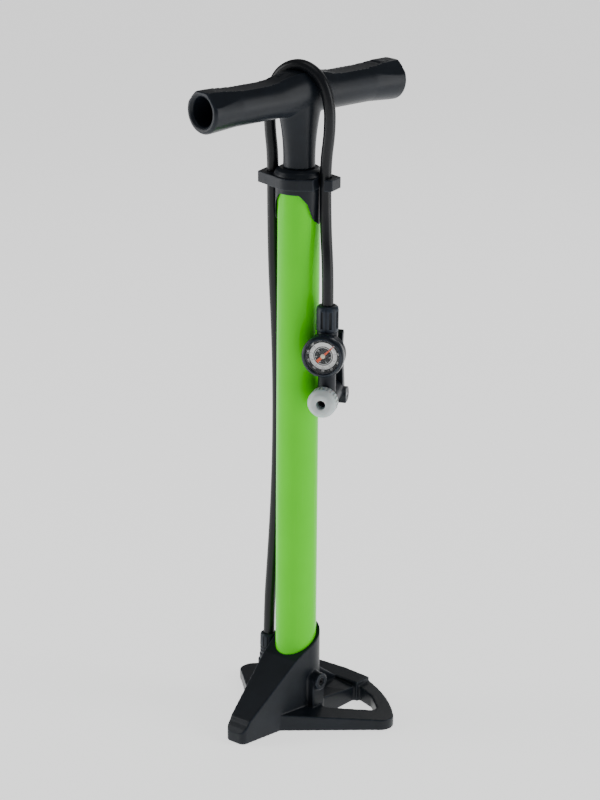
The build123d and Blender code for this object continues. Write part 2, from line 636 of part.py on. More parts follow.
def gauge_bezel():
    r, front = GAUGE_R, CASE_FRONT
    back = GAUGE_BACK + 5.1
    return turned_y([(CASE_IN_R, back), (r, back), (r, front - 2.2), (r - 0.9, front - 0.6),
                     (r - 2.4, front), (r - 3.6, front - 0.6), (r - 3.6, front - 2.2),
                     (CASE_IN_R, front - 2.2)], GAUGE_Z)


def gauge_lens():
    r = GAUGE_R - 3.7
    front = CASE_FRONT
    return turned_y([(0, front - 2.6), (r, front - 2.6), (r, front - 1.2), (0, front - 0.9)],
                    GAUGE_Z)


DIAL_R = CASE_IN_R - 1.0


def gauge_dial():
    return turned_y([(1.0, DIAL_AT), (DIAL_R, DIAL_AT), (DIAL_R, DIAL_AT + 0.6),
                     (1.0, DIAL_AT + 0.6)], GAUGE_Z)


NEEDLE_AT = DIAL_AT + 1.2
NEEDLE_REST = 45.0        # degrees clockwise from the top at zero pressure


def gauge_needle():
    blade = make_face(Polyline((-1.1, -8.4), (1.1, -8.4), (0.8, 0), (0.25, 14.0),
                               (-0.25, 14.0), (-0.8, 0), close=True))
    blade = blade + Circle(2.6)
    needle = extrude(blade, 0.5)
    needle = Rot(90, 0, 0) * Rot(0, 0, -NEEDLE_REST) * needle
    return Pos(0, -NEEDLE_AT, GAUGE_Z) * needle


def gauge_spindle():
    """Pin that carries the needle through the dial."""
    return along_y(-NEEDLE_AT, -GAUGE_BACK - 3.0, 0.9, GAUGE_Z)


def gauge_movement():
    """Brass carrier behind the dial, with its bearing for the pin."""
    plate = turned_y([(0.95, GAUGE_BACK + 1.05), (7.5, GAUGE_BACK + 1.05),
                      (7.5, GAUGE_BACK + 2.6), (3.0, GAUGE_BACK + 2.6),
                      (3.0, DIAL_AT - 0.05), (0.95, DIAL_AT - 0.05)], GAUGE_Z)
    return plate


def bourdon_tube():
    """Curved pressure tube round the movement."""
    ring = Torus(11.5, 1.5)
    ring -= block(0, 20, -20, 0, -5, 5)
    return Pos(0, -(GAUGE_BACK + 2.7), GAUGE_Z) * Rot(90, 0, 0) * ring


def nozzle_nut():
    """Knurled clamp nut round the valve opening."""
    front = NOZZLE_FRONT
    shape = turned_y([(NOZZLE_BORE_R, front - 3.0), (NOZZLE_BORE_R, front - 0.8),
                      (NOZZLE_BORE_R + 0.8, front), (9.2, front), (NOZZLE_R - 1.2, front - 2.5),
                      (NOZZLE_R, front - 5.5), (NOZZLE_R, 9.0), (NOZZLE_HOUSING_R + 0.06, 9.0),
                      (NOZZLE_HOUSING_R + 0.06, 15.3), (NOZZLE_BORE_R, 15.3)], NOZZLE_Z)
    for i in range(16):
        ridge = Pos(0, 0, NOZZLE_Z) * Rot(0, 22.5 * i, 0) * Pos(NOZZLE_R + 0.7, 0, 0)
        shape -= ridge * along_y(-(front - 7.5), -8.0, 1.3, 0)
    return shape


def nozzle_grommet():
    """Rubber seal that grips the tyre valve."""
    inner = 2.9
    return turned_y([(inner, -3.8), (GROMMET_R, -3.8), (GROMMET_R, 15.0), (inner, 15.0)],
                    NOZZLE_Z)


def valve_plunger():
    """Pin behind the grommet that the lever's cam pushes forward."""
    back = PIVOT_BACK - 5.3
    return turned_y([(0, -back), (PLUNGE_R, -back), (PLUNGE_R, 2.0), (1.2, 2.8), (0, 2.8)],
                    NOZZLE_Z)


def lever():
    """Thumb lever, at rest up against the back of the head."""
    half = LEVER_WIDTH / 2
    top = GAUGE_Z + 13.0
    hub = Pos(0, PIVOT_BACK, PIVOT_Z) * Rot(0, 90, 0) * Cylinder(5.0, LEVER_WIDTH)
    outline = [(PIVOT_BACK - 4.2, PIVOT_Z), (PIVOT_BACK + 5.0, PIVOT_Z),
               (PIVOT_BACK + 2.0, PIVOT_Z + 16), (PIVOT_BACK - 4.0, top - 16),
               (PIVOT_BACK - 1.0, top - 3), (PIVOT_BACK - 3.0, top),
               (PIVOT_BACK - 7.0, top - 2), (PIVOT_BACK - 10.0, top - 18),
               (PIVOT_BACK - 5.0, PIVOT_Z + 16)]
    arm = prism_yz(outline, half)
    pin = Pos(0, PIVOT_BACK, PIVOT_Z) * Rot(0, 90, 0) * Cylinder(
        LEVER_PIN_D / 2 + SLIDE_FIT, LEVER_WIDTH + 20)
    return hub + arm - pin


def lever_pin():
    return Pos(0, PIVOT_BACK, PIVOT_Z) * Rot(0, 90, 0) * Cylinder(
        LEVER_PIN_D / 2, 2 * EAR_HALF - 0.8)


PIECES = {
    "base_body": base_body,
    "base_screws": base_screws,
    "barrel_lock_screw": lock_screw,
    "barrel": barrel,
    "foot_plug": foot_plug,
    "foot_seal": foot_seal,
    "valve_poppet": valve_poppet,
    "valve_spring": valve_spring,
    "outlet_barb": outlet_barb,
    "hose_gland": hose_gland,
    "top_cap": top_cap,
    "rod_bush": rod_bush,
    "rod_wiper": rod_wiper,
    "piston_head": piston_head,
    "piston_cup": piston_cup,
    "piston_washer": piston_washer,
    "piston_bolt": piston_bolt,
    "piston_rod": piston_rod,
    "rod_bumper": rod_bumper,
    "handle": handle,
    "handle_insert": handle_insert,
    "hose_lower": lambda: hose_piece(0, SPLIT_Z, -60, 0),
    "hose_arch": lambda: hose_piece(SPLIT_Z, HANDLE_Z + 60, -60, 60),
    "hose_upper": lambda: hose_piece(0, SPLIT_Z, 0, 60),
}
HEAD_PIECES = {
    "head_body": head_body,
    "head_boot": head_boot,
    "head_barb": head_barb,
    "gauge_case": gauge_case,
    "gauge_bezel": gauge_bezel,
    "gauge_lens": gauge_lens,
    "gauge_dial": gauge_dial,
    "gauge_needle": gauge_needle,
    "gauge_spindle": gauge_spindle,
    "gauge_movement": gauge_movement,
    "bourdon_tube": bourdon_tube,
    "nozzle_nut": nozzle_nut,
    "nozzle_grommet": nozzle_grommet,
    "valve_plunger": valve_plunger,
    "lever": lever,
    "lever_pin": lever_pin,
}

os.makedirs("parts", exist_ok=True)
for name, make in PIECES.items():
    export_step(make(), f"parts/{name}.step")
for name, make in HEAD_PIECES.items():
    export_step(placed_head(make()), f"parts/{name}.step")
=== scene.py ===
import json
import math

import bpy
from mathutils import Matrix, Vector


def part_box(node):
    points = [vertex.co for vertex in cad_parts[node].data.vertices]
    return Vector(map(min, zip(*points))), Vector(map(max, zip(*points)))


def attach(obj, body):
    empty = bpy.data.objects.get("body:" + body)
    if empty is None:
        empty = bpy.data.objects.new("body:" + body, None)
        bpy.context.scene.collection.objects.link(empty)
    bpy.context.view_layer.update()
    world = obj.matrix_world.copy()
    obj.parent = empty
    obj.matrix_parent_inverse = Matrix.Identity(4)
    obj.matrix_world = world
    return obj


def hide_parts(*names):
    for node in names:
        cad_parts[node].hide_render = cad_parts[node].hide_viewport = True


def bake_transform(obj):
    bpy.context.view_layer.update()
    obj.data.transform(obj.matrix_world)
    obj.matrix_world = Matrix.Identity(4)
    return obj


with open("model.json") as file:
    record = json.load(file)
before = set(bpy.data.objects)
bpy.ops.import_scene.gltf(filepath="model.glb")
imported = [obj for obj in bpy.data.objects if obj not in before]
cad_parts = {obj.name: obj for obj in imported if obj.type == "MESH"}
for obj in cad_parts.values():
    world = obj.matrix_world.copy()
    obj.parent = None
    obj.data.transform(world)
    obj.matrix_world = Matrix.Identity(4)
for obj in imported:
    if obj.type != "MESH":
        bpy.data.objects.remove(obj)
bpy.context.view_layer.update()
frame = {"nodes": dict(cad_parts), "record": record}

bl_info = {
    "name": "Floor bike pump",
    "version": (1, 0, 0),
    "blender": (4, 5, 0),
    "location": "3D View > Sidebar > Pump",
    "description": "Dresses the packed floor bike pump with moulded, turned and printed pieces",
    "category": "Add Mesh",
}

MM = 0.001
UP = Vector((0, 0, 1))
X_AXIS, Y_AXIS = Vector((1, 0, 0)), Vector((0, 1, 0))
# Vertices of one piece that lie nearer than this are one vertex, for each way of making it.
WELD_TURNED, WELD_CAD, WELD_TEXT = 0.000004, 0.000002, 0.000001


def middle(node):
    """The centre of a CAD node's box."""
    low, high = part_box(node)
    return (low + high) / 2


def upright_axis(node):
    """The foot, at height 0, of the upright axis through the middle of a CAD node."""
    centre = middle(node)
    return Vector((centre.x, centre.y, 0))


VALVE_MOUNT = next(m for m in frame["record"]["mounts"] if m["name"] == "valve_opening")
HEAD_FORWARD = Vector(VALVE_MOUNT["axis"]).normalized()
HEAD_SIDE = UP.cross(HEAD_FORWARD)
BARREL_LOW, BARREL_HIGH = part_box("barrel")
BARREL_R = BARREL_HIGH.x
BOOT_LOW, BOOT_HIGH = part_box("head_boot")
HEAD_AXIS = upright_axis("head_boot")
GLAND_LOW, GLAND_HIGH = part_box("hose_gland")
GLAND_AXIS = upright_axis("hose_gland")


def beside_head_axis(place):
    """The place moved forward or back until it is level with the head's upright axis."""
    return place - HEAD_FORWARD * (place - HEAD_AXIS).dot(HEAD_FORWARD)


GAUGE_CENTRE = beside_head_axis(middle("gauge_lens"))
NOZZLE_CENTRE = beside_head_axis(Vector(VALVE_MOUNT["pos_m"]))

# The hose's route, from the gland up the barrel, over the handle and down into the head.
HOSE_ROUTE = [
    (-0.033, 0.0, 0.04805), (-0.0329, 0.0001, 0.098), (-0.0293, 0.0006, 0.148),
    (-0.0264, 0.0024, 0.215), (-0.0258, 0.0036, 0.290), (-0.0258, 0.0016, 0.365),
    (-0.0261, -0.0032, 0.430), (-0.02563, -0.00545, 0.495), (-0.02563, -0.00545, 0.534),
    (-0.0289, -0.0062, 0.560), (-0.0288, -0.0061, 0.586), (-0.0201, -0.0043, 0.6095),
    (0.0006, 0.0001, 0.619), (0.0201, 0.0043, 0.609), (0.029, 0.0062, 0.586),
    (0.0291, 0.0062, 0.560), (0.02563, 0.00545, 0.534), (0.02563, 0.00545, 0.500),
    (0.0282, 0.0038, 0.468), (0.0326, 0.00095, 0.443), (0.0341, -0.0001, 0.415),
    (0.0341, -0.0001, 0.3871),
]


# ---- settings a user would change ----------------------------------------
class PumpSizes(bpy.types.PropertyGroup):
    hose_diameter: bpy.props.FloatProperty(
        name="Hose diameter", description="Outside diameter of the hose",
        default=0.0104, unit="LENGTH")
    floor_size: bpy.props.FloatProperty(
        name="Floor size", description="Side of the square floor", default=24.0, unit="LENGTH")
    mould_voxel: bpy.props.FloatProperty(
        name="Mould detail", description="Grid on which the base's and handle's edges are rounded",
        default=0.0007, precision=5, unit="LENGTH")
    camera_distance: bpy.props.FloatProperty(
        name="Camera distance", description="From the pump's middle to the camera",
        default=2.349, unit="LENGTH")
    camera_turn: bpy.props.FloatProperty(
        name="Camera turn", description="Direction of view about the vertical",
        default=math.radians(39.8), subtype="ANGLE")
    camera_tilt: bpy.props.FloatProperty(
        name="Camera tilt", description="How far the camera looks down",
        default=math.radians(19.05), subtype="ANGLE")
    camera_roll: bpy.props.FloatProperty(
        name="Camera roll", description="Turn about the line of sight",
        default=math.radians(0.44), subtype="ANGLE")
    camera_lens: bpy.props.FloatProperty(
        name="Lens", description="Focal length in millimetres", default=117.0)


def colour_setting(name, text, value):
    return bpy.props.FloatVectorProperty(
        name=name, description=text, default=value, subtype="COLOR", min=0.0, max=1.0, size=3)


class PumpColours(bpy.types.PropertyGroup):
    enamel: colour_setting("Enamel", "Paint on the barrel", (0.10, 0.80, 0.0))
    moulding: colour_setting("Moulding", "Black plastic parts", (0.0085, 0.0115, 0.0165))
    hose: colour_setting("Hose", "Hose rubber", (0.004, 0.005, 0.007))
    nut: colour_setting("Clamp nut", "Pale plastic of the clamp nut", (0.50, 0.56, 0.56))
    needle: colour_setting("Needle", "Gauge needle", (0.9, 0.1, 0.012))
    paper: colour_setting("Dial white", "Light print on the dial", (0.95, 0.96, 0.95))
    ink: colour_setting("Dial black", "Dark print on the dial", (0.004, 0.004, 0.005))
    floor: colour_setting("Floor", "Studio floor", (0.93, 0.93, 0.93))


def sizes():
    return bpy.context.scene.pump_sizes


def colours():
    return bpy.context.scene.pump_colours


def hose_bore():
    """Radius, in millimetres, of a hole that the hose just passes through."""
    return sizes().hose_diameter / 2 / MM + 0.05


# ---- shader writing -------------------------------------------------------
class Wire:
    """An output socket; arithmetic with it adds Math nodes to the material."""

    def __init__(self, finish, socket):
        self.finish = finish
        self.socket = socket

    def math(self, operation, *values):
        return self.finish.node("ShaderNodeMath", {"operation": operation}, list(values))

    def __add__(self, other):
        return self.math("ADD", self, other)

    __radd__ = __add__

    def __mul__(self, other):
        return self.math("MULTIPLY", self, other)

    def __sub__(self, other):
        return self.math("SUBTRACT", self, other)

    def __rsub__(self, other):
        return self.math("SUBTRACT", other, self)

    def size(self):
        return self.math("ABSOLUTE", self)

    def clamped(self, low, high):
        """The wire's value run from 0 at low to 1 at high, and held there."""
        return self.finish.node("ShaderNodeMapRange", {"clamp": True},
                                {"Value": self, "From Min": low, "From Max": high})


# A Mix node has sockets for numbers, vectors and colours; these are the ones for colours.
MIX_COLOUR_INPUTS, MIX_COLOUR_OUTPUT = (0, 6, 7), 2


class Finish:
    """One material, written node by node."""

    def __init__(self, name, **sockets):
        self.material = bpy.data.materials.new(name)
        self.material.use_nodes = True
        self.tree = self.material.node_tree
        self.tree.nodes.clear()
        self.shader = self.tree.nodes.new("ShaderNodeBsdfPrincipled")
        output = self.tree.nodes.new("ShaderNodeOutputMaterial")
        self.tree.links.new(self.shader.outputs["BSDF"], output.inputs["Surface"])
        for key, value in sockets.items():
            self.set(key.replace("_", " "), value)

    def put(self, socket, value):
        if isinstance(value, Wire):
            self.tree.links.new(value.socket, socket)
        elif hasattr(value, "__len__") and socket.type == "RGBA":
            socket.default_value = (*value[:3], 1.0)
        else:
            socket.default_value = value

    def set(self, name, value):
        self.put(self.shader.inputs[name], value)

    def node(self, kind, settings=None, values=None, output=0):
        made = self.tree.nodes.new(kind)
        for key, value in (settings or {}).items():
            setattr(made, key, value)
        pairs = values.items() if isinstance(values, dict) else enumerate(values or [])
        for key, value in pairs:
            self.put(made.inputs[key], value)
        return Wire(self, made.outputs[output])

    def noise(self, size, detail=3.0, stretch=(1, 1, 1), rough=0.5):
        """Noise with features about size metres across, longer where stretch is under 1."""
        here = self.node("ShaderNodeTexCoord", output="Object")
        at = self.node("ShaderNodeVectorMath", {"operation": "MULTIPLY"}, [here, stretch])
        return self.node("ShaderNodeTexNoise", {}, {
            "Vector": at, "Scale": 1.0 / size, "Detail": detail, "Roughness": rough})

    def mix(self, factor, a, b):
        """Colour a where the factor is 0, running to colour b where it is 1."""
        made = self.tree.nodes.new("ShaderNodeMix")
        made.data_type = "RGBA"
        for socket, value in zip(MIX_COLOUR_INPUTS, (factor, a, b)):
            self.put(made.inputs[socket], value)
        return Wire(self, made.outputs[MIX_COLOUR_OUTPUT])

    def bump(self, height, distance, strength):
        return self.node("ShaderNodeBump", {}, {
            "Height": height, "Distance": distance, "Strength": strength})


def scaled(colour, share):
    """A darker or lighter colour of the same hue."""
    return tuple(min(1.0, c * share) for c in colour)


def moulded_plastic(name, colour, rough=0.36, grain=0.00035):
    """Satin moulding: a fine spark texture, faint flow clouds and paler edges that are partly wear
    and partly a painted highlight.
    """
    f = Finish(name, IOR=1.5, Specular_IOR_Level=0.22)
    fine = f.noise(grain, detail=2.0)
    clouds = f.noise(0.018, detail=4.0)
    scuffs = f.noise(0.0035, detail=6.0, stretch=(1, 1, 0.35), rough=0.7)
    # Convex edges are lightened from the pointiness: partly wear, partly a painted highlight along
    # the ridges.
    edge_wear_and_highlight = f.node("ShaderNodeNewGeometry", output="Pointiness").clamped(0.51, 0.56)
    base = f.mix(clouds.clamped(0.35, 0.7), scaled(colour, 0.85), scaled(colour, 1.2))
    worn_and_highlit = f.mix(edge_wear_and_highlight * (scuffs.clamped(0.35, 0.65) * 0.5 + 0.4), base, scaled(colour, 3.6))
    f.set("Base Color", worn_and_highlit)
    f.set("Roughness", rough + clouds * 0.08 + scuffs.clamped(0.55, 0.75) * 0.1 - 0.04)
    f.set("Normal", f.bump(fine, distance=0.00006, strength=0.5))
    return f.material


def lime_enamel():
    """Gloss paint over steel: orange peel, a clear coat and a few fine rubs along the barrel."""
    f = Finish("lime_enamel", Coat_Weight=0.3, Coat_Roughness=0.05, Coat_IOR=1.36,
               Specular_IOR_Level=0.06)
    peel = f.noise(0.0016, detail=2.0)
    rubs = f.noise(0.0009, stretch=(1, 1, 0.02))
    fade = f.noise(0.05, detail=2.0)
    colour, rubbed = tuple(colours().enamel), (0.55, 0.95, 0.25)
    base = f.mix(fade.clamped(0.3, 0.7), scaled(colour, 0.95), scaled(colour, 1.03))
    f.set("Base Color", f.mix(rubs.clamped(0.66, 0.8) * 0.1, base, rubbed))
    f.set("Roughness", 0.3 + rubs.clamped(0.55, 0.8) * 0.12)
    f.set("Normal", f.bump(peel, distance=0.00004, strength=0.35))
    return f.material


def hose_rubber():
    """Gloss hose: a faint grain, soft ripples round it and a mould seam along it."""
    f = Finish("hose_rubber", IOR=1.5, Specular_IOR_Level=0.25, Coat_Weight=0.12,
               Coat_Roughness=0.2)
    uv = f.node("ShaderNodeUVMap")
    around = f.node("ShaderNodeSeparateXYZ", {}, {"Vector": uv}, output="X")
    length = f.node("ShaderNodeSeparateXYZ", {}, {"Vector": uv}, output="Y")
    ripples_per_metre = 260.0
    ripple = f.node("ShaderNodeTexNoise", {"noise_dimensions": "1D"},
                    {"W": length * ripples_per_metre, "Scale": 1.0, "Detail": 1.0})
    grain = f.noise(0.0006)
    seam_at, seam_width = 0.5, 0.012
    seam = 1.0 - (around - seam_at).size().clamped(0.0, seam_width)
    colour = tuple(colours().hose)
    bloom = f.noise(0.02, detail=4.0)
    f.set("Base Color", f.mix(bloom.clamped(0.4, 0.75), colour, scaled(colour, 1.7)))
    f.set("Roughness", 0.3 + bloom * 0.1 + grain * 0.05)
    relief = grain * 0.4 + ripple * 0.6 + seam * 0.4
    f.set("Normal", f.bump(relief, distance=0.00012, strength=0.5))
    return f.material


def turned_metal(name, colour, rough, lines=0.0004, stretch=(1, 1, 0.01)):
    """Bare or plated metal with fine tool lines."""
    f = Finish(name, Metallic=1.0)
    tool = f.noise(lines, stretch=stretch)
    stain = f.noise(0.006, detail=4.0)
    f.set("Base Color", f.mix(stain.clamped(0.35, 0.75), colour, scaled(colour, 0.8)))
    f.set("Roughness", rough + tool * 0.12 + stain.clamped(0.5, 0.8) * 0.08)
    f.set("Normal", f.bump(tool, distance=0.00003, strength=0.3))
    return f.material


def pale_nylon():
    """Milky moulding of the clamp nut, with painted shade darkening its hollows."""
    f = Finish("pale_nylon", IOR=1.5, Subsurface_Weight=0.12, Subsurface_Scale=0.003,
               Coat_Weight=0.25, Coat_Roughness=0.2)
    colour = tuple(colours().nut)
    cloud = f.noise(0.004, detail=5.0)
    # Painted shade: concave places are darkened to 0.72 of the nut's colour.
    hollow_shade_mask = f.node("ShaderNodeNewGeometry", output="Pointiness").clamped(0.42, 0.52)
    base = f.mix(cloud.clamped(0.35, 0.7), colour, scaled(colour, 1.14))
    f.set("Base Color", f.mix(hollow_shade_mask, scaled(colour, 0.72), base))
    f.set("Roughness", 0.34 + cloud * 0.14)
    f.set("Normal", f.bump(f.noise(0.0005), distance=0.00005, strength=0.4))
    return f.material


def printed(name, colour, rough=0.5):
    """Ink on the dial, with the tooth of printed card."""
    f = Finish(name, Specular_IOR_Level=0.12)
    tooth = f.noise(0.00015)
    patch = f.noise(0.002)
    f.set("Base Color", f.mix(patch.clamped(0.4, 0.7), colour, scaled(colour, 0.93)))
    f.set("Roughness", rough + tooth * 0.1)
    f.set("Normal", f.bump(tooth, distance=0.00001, strength=0.3))
    return f.material


def clear_lens():
    """Thin clear window, faintly smeared."""
    f = Finish("clear_lens", Base_Color=(0.9, 0.95, 0.98), IOR=1.4, Specular_IOR_Level=0.3)
    smear = f.noise(0.006, detail=4.0).clamped(0.5, 0.8)
    f.set("Alpha", 0.03 + smear * 0.03)
    f.set("Roughness", 0.03 + smear * 0.08)
    return f.material


def seal_rubber():
    """Matt black rubber with a chalky bloom."""
    f = Finish("seal_rubber", IOR=1.5)
    colour = (0.016, 0.016, 0.017)
    chalk = f.noise(0.0012, detail=5.0)
    f.set("Base Color", f.mix(chalk.clamped(0.45, 0.75), colour, scaled(colour, 1.8)))
    f.set("Roughness", 0.62 + chalk * 0.2)
    f.set("Normal", f.bump(f.noise(0.0004, detail=4.0), distance=0.00008, strength=0.5))
    return f.material


def studio_floor():
    """Pale sweep that glows a little, so that it stays pale under the dark world."""
    f = Finish("studio_floor", Emission_Strength=1.2, Specular_IOR_Level=0.1)
    sweep = f.noise(0.8, detail=2.0)
    colour = tuple(colours().floor)
    f.set("Base Color", f.mix(sweep, colour, scaled(colour, 0.985)))
    f.set("Emission Color", f.mix(sweep, colour, scaled(colour, 0.99)))
    f.set("Roughness", 0.7 + sweep * 0.1)
    return f.material


FINISHES = {}


def finish(name):
    """The named material, made the first time it is asked for."""
    if name not in FINISHES:
        black = tuple(colours().moulding)
        makers = {
            "black_moulding": lambda: moulded_plastic("black_moulding", black),
            "handle_moulding": lambda: moulded_plastic("handle_moulding", black, 0.34, 0.0004),
            "gloss_moulding": lambda: moulded_plastic("gloss_moulding", black, 0.2, 0.0006),
            "grey_moulding": lambda: moulded_plastic("grey_moulding", (0.2, 0.21, 0.22), 0.4),
            "lime_enamel": lime_enamel,
            "hose_rubber": hose_rubber,
            "seal_rubber": seal_rubber,
            "brass": lambda: turned_metal("brass", (0.72, 0.52, 0.22), 0.22),
            "zinc_steel": lambda: turned_metal("zinc_steel", (0.62, 0.63, 0.65), 0.24),
            "oxide_steel": lambda: turned_metal("oxide_steel", (0.02, 0.02, 0.023), 0.35),
            "spring_steel": lambda: turned_metal("spring_steel", (0.45, 0.45, 0.46), 0.28),
            "chromed_steel": lambda: turned_metal("chromed_steel", (0.78, 0.79, 0.8), 0.05,
                                                  0.0003, (1, 1, 0.004)),
            "pale_nylon": pale_nylon,
            "dial_white": lambda: printed("dial_white", tuple(colours().paper)),
            "dial_black": lambda: printed("dial_black", tuple(colours().ink), 0.45),
            "needle_paint": lambda: printed("needle_paint", tuple(colours().needle), 0.4),
            "hub_cream": lambda: printed("hub_cream", (0.8, 0.72, 0.55), 0.35),
            "clear_lens": clear_lens,
            "studio_floor": studio_floor,
        }
        FINISHES[name] = makers[name]()
    return FINISHES[name]


# ---- mesh work ------------------------------------------------------------
def deselect():
    """Object mode, with nothing selected."""
    if bpy.context.object and bpy.context.object.mode != "OBJECT":
        bpy.ops.object.mode_set(mode="OBJECT")
    bpy.ops.object.select_all(action="DESELECT")


def only(piece):
    """Object mode, with this piece selected and active."""
    deselect()
    piece.select_set(True)
    bpy.context.view_layer.objects.active = piece
    return piece


def editing(piece, mode="VERT"):
    """Edit mode, with all of the piece selected."""
    only(piece)
    bpy.ops.object.mode_set(mode="EDIT")
    bpy.ops.mesh.select_mode(type=mode)
    bpy.ops.mesh.select_all(action="SELECT")


def pick_faces(piece, wanted):
    """Leaves the piece in edit mode with only the faces that pass the test selected."""
    editing(piece, "FACE")
    bpy.ops.mesh.select_all(action="DESELECT")
    bpy.ops.object.mode_set(mode="OBJECT")
    for face in piece.data.polygons:
        face.select = wanted(face.center)
    bpy.ops.object.mode_set(mode="EDIT")


def drawn_line(name, points, closed=False):
    """A chain of edges, extruded from one vertex to the next point."""
    deselect()
    bpy.ops.mesh.primitive_plane_add(size=MM, location=points[0])
    piece = bpy.context.object
    piece.name = piece.data.name = name
    bpy.ops.object.transform_apply(location=True, rotation=True, scale=True)
    editing(piece)
    bpy.ops.mesh.merge(type="CENTER")
    here = Vector(points[0])
    for point in points[1:]:
        step = Vector(point) - here
        bpy.ops.mesh.extrude_region_move(TRANSFORM_OT_translate={"value": step})
        here = Vector(point)
    if closed:
        bpy.ops.mesh.select_all(action="SELECT")
        bpy.ops.mesh.edge_face_add()
    return piece


def turned(name, profile, origin, axis=UP, steps=64):
    """Lathe work: a profile of (radius, distance along the axis) in millimetres, spun."""
    axis = Vector(axis).normalized()
    side = axis.orthogonal().normalized()
    points = [origin + side * (r * MM) + axis * (d * MM) for r, d in profile]
    piece = drawn_line(name, points)
    bpy.ops.mesh.select_all(action="SELECT")
    bpy.ops.mesh.spin(steps=steps, angle=math.tau, center=origin, axis=axis)
    bpy.ops.mesh.select_all(action="SELECT")
    bpy.ops.mesh.remove_doubles(threshold=WELD_TURNED)
    bpy.ops.mesh.normals_make_consistent(inside=False)
    bpy.ops.object.mode_set(mode="OBJECT")
    return piece


def plate(name, outline, origin, across, upward, thick):
    """A flat outline in millimetres, extruded along its normal."""
    points = [origin + across * (x * MM) + upward * (y * MM) for x, y in outline]
    piece = drawn_line(name, points, closed=True)
    normal = across.cross(upward).normalized()
    bpy.ops.mesh.select_all(action="SELECT")
    bpy.ops.mesh.extrude_region_move(TRANSFORM_OT_translate={"value": normal * (thick * MM)})
    bpy.ops.mesh.select_all(action="SELECT")
    bpy.ops.mesh.normals_make_consistent(inside=False)
    bpy.ops.object.mode_set(mode="OBJECT")
    return piece


def finished(piece, modifier, **settings):
    """Adds a modifier with these settings and applies it."""
    only(piece)
    made = piece.modifiers.new(modifier.lower(), modifier)
    for key, value in settings.items():
        setattr(made, key, value)
    bpy.ops.object.modifier_apply(modifier=made.name)
    return piece


def rounded(piece, width, angle=30):
    """Bevels the edges sharper than the angle by a width in millimetres."""
    return finished(piece, "BEVEL", width=width * MM, segments=2, limit_method="ANGLE",
                    angle_limit=math.radians(angle), use_clamp_overlap=True)


def grooved(piece, wanted, depth, rim=0):
    """Sinks the faces that pass the test, inside a rim, both in millimetres."""
    pick_faces(piece, wanted)
    if rim:
        bpy.ops.mesh.inset(thickness=rim * MM)
    sink = {"value": -depth * MM}
    bpy.ops.mesh.extrude_region_shrink_fatten(TRANSFORM_OT_shrink_fatten=sink)
    bpy.ops.object.mode_set(mode="OBJECT")


def flute_test(centre, axis, zero, side, span, radius, pitch, width):
    """A test for places in evenly spaced flutes along an axis.

    The span along the axis and the least radius are in millimetres, the pitch and the width
    are in degrees, and turns are counted from the direction zero towards the direction side.
    """
    def inside(place):
        out = place - centre
        along = out.dot(axis)
        spoke = out - axis * along
        turn = math.degrees(math.atan2(spoke.dot(side), spoke.dot(zero))) % pitch
        level = span[0] < along / MM < span[1]
        return level and spoke.length > radius * MM and turn < width

    return inside


def smooth(piece, angle=35):
    """Shades smooth wherever faces meet at less than the angle."""
    only(piece)
    bpy.ops.object.shade_smooth_by_angle(angle=math.radians(angle))
    return piece


def joined(name, pieces):
    """The pieces as one, under this name."""
    deselect()
    for piece in pieces:
        piece.select_set(True)
    made = bpy.context.view_layer.objects.active = pieces[0]
    bpy.ops.object.join()
    made.name = made.data.name = name
    return made


def placed(piece, material, body, slot, *nodes):
    """Gives a finished piece its material and body and hides the CAD nodes that it stands for; the
    slot is not used.
    """
    piece.data.materials.clear()
    piece.data.materials.append(finish(material))
    if body:
        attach(piece, body)
    if nodes:
        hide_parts(*nodes)
    return piece


def sliced(piece, place, outward):
    """Cuts off all that lies beyond a plane and closes the cut."""
    editing(piece)
    bpy.ops.mesh.bisect(plane_co=place, plane_no=outward, use_fill=True, clear_outer=True)
    bpy.ops.object.mode_set(mode="OBJECT")


def softened(piece, passes, weight):
    """Smooths where the weight, a function of place, is above 0."""
    group = piece.vertex_groups.new(name="soft")
    for vertex in piece.data.vertices:
        share = weight(vertex.co)
        if share > 0:
            group.add([vertex.index], min(share, 1.0), "REPLACE")
    finished(piece, "SMOOTH", factor=0.5, iterations=passes, vertex_group="soft")
    piece.vertex_groups.clear()


def moulding_of(node, name, voxel, passes, faces, facets=(), soft=None):
    """A CAD node's shape with its edges and inner corners rounded as a mould leaves them.

    The shape is cut back to its facets, rebuilt on a grid of this voxel size, smoothed in so
    many passes, smoothed more where soft says, and thinned to about so many faces.
    """
    source = frame["nodes"][node]
    piece = bpy.data.objects.new(name, source.data.copy())
    piece.data.name = name
    bpy.context.scene.collection.objects.link(piece)
    editing(piece)
    bpy.ops.mesh.remove_doubles(threshold=WELD_CAD)
    bpy.ops.object.mode_set(mode="OBJECT")
    for place, outward in facets:
        sliced(piece, place, outward)
    finished(piece, "REMESH", mode="VOXEL", voxel_size=voxel, adaptivity=0.0)
    finished(piece, "SMOOTH", factor=0.5, iterations=passes)
    if soft:
        softened(piece, *soft)
    share = faces / (2 * len(piece.data.polygons))
    if share < 1:
        finished(piece, "DECIMATE", decimate_type="COLLAPSE", ratio=share)
    return smooth(piece, 50)


# ---- stage ----------------------------------------------------------------
CAMERA_TARGET = Vector((0.00175, 0.00146, 0.310))
WORLD_STRENGTH = 0.16
FLOOR_Z = -0.4 * MM
# Each light: its name, place, target, width, height and power in watts.
LIGHTS = (
    ("left_box", (-1.5, -1.1, 0.7), (0, 0, 0.35), 0.9, 1.7, 17),
    ("right_box", (1.6, 0.75, 0.7), (0, 0, 0.35), 0.7, 1.7, 14),
    ("overhead", (0.2, -0.3, 2.2), (0, 0, 0.3), 1.0, 1.0, 4),
    ("behind", (-0.6, 1.8, 1.4), (0, 0, 0.4), 1.0, 1.0, 4),
)


